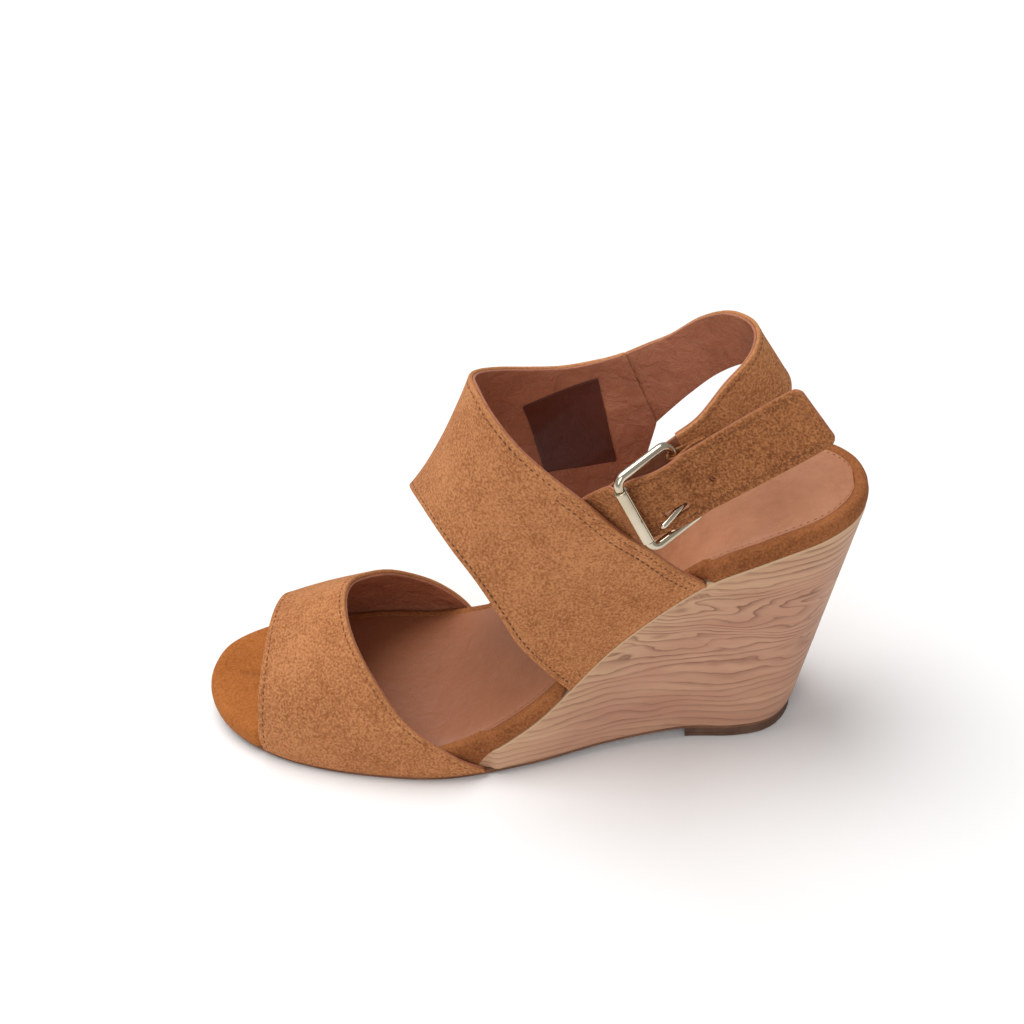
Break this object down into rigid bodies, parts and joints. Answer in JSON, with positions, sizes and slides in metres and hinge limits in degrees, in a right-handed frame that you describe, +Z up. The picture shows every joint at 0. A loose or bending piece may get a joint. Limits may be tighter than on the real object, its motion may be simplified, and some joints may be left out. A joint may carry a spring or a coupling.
{
  "type": "wedge sandal",
  "caption": "Left slingback wedge sandal with a peep-toe strap, a wide instep band and a roller buckle closing a tab on the outer side.",
  "frame": {"origin": "centre of the bounding box in plan, at ground level under the sandal", "axes": "toe towards -X, heel towards +X, outer (buckle) side towards -Y, +Z up"},
  "size_m": [0.2244, 0.0866, 0.1606],
  "materials": {
    "core": "matte",
    "woodgrain": "satin",
    "rubber_sole": "matte",
    "steel": "satin",
    "board": "matte",
    "foam": "matte",
    "sock_leather": "satin",
    "suede": "nap",
    "rim_suede": "nap",
    "lining_leather": "satin",
    "label_leather": "satin",
    "buckle_metal": "polished"
  },
  "bodies": {
    "shoe": {"wedge_core": "core", "wedge_wrap": "woodgrain", "outsole": "rubber_sole", "heel_lift": "rubber_sole", "lift_nails": "steel", "insole_board": "board", "shank": "steel", "shank_rivets": "steel", "heel_nails": "steel", "insole_foam": "foam", "sock_lining": "sock_leather", "toe_wrap": "rim_suede", "insole_rim": "rim_suede", "toe_strap_outer": "suede", "toe_strap_lining": "lining_leather", "band_outer": "suede", "band_lining": "lining_leather", "lining_label": "label_leather", "heel_strap_outer": "suede", "heel_strap_lining": "lining_leather", "buckle_guard": "lining_leather", "buckle_chape": "suede", "tab_outer": "suede", "tab_lining": "lining_leather"},
    "frame": {"buckle_frame": "buckle_metal"},
    "roller": {"buckle_roller": "buckle_metal"},
    "prong": {"buckle_prong": "buckle_metal"},
    "tail": {"tail_outer": "suede", "tail_lining": "lining_leather"}
  },
  "joints": [
    {"name": "frame_swing", "type": "hinge", "parent": "shoe", "child": "frame", "pos_m": [0.0522, -0.02646, 0.1204], "axis": [-0.4054, 0.0533, 0.9126], "range_deg": [-1, 4]},
    {"name": "prong_swing", "type": "hinge", "parent": "frame", "child": "prong", "pos_m": [0.05443, -0.02675, 0.11538], "axis": [-0.4054, 0.0533, 0.9126], "range_deg": [-4, 4]},
    {"name": "roller_spin", "type": "hinge", "parent": "frame", "child": "roller", "pos_m": [0.03606, -0.03728, 0.11386], "axis": [-0.4054, 0.0533, 0.9126], "continuous": true},
    {"name": "tail_lift", "type": "hinge", "parent": "shoe", "child": "tail", "pos_m": [0.05739, -0.03232, 0.12373], "axis": [0.6237, -0.1735, -0.7622], "range_deg": [0, 55]}
  ]
}
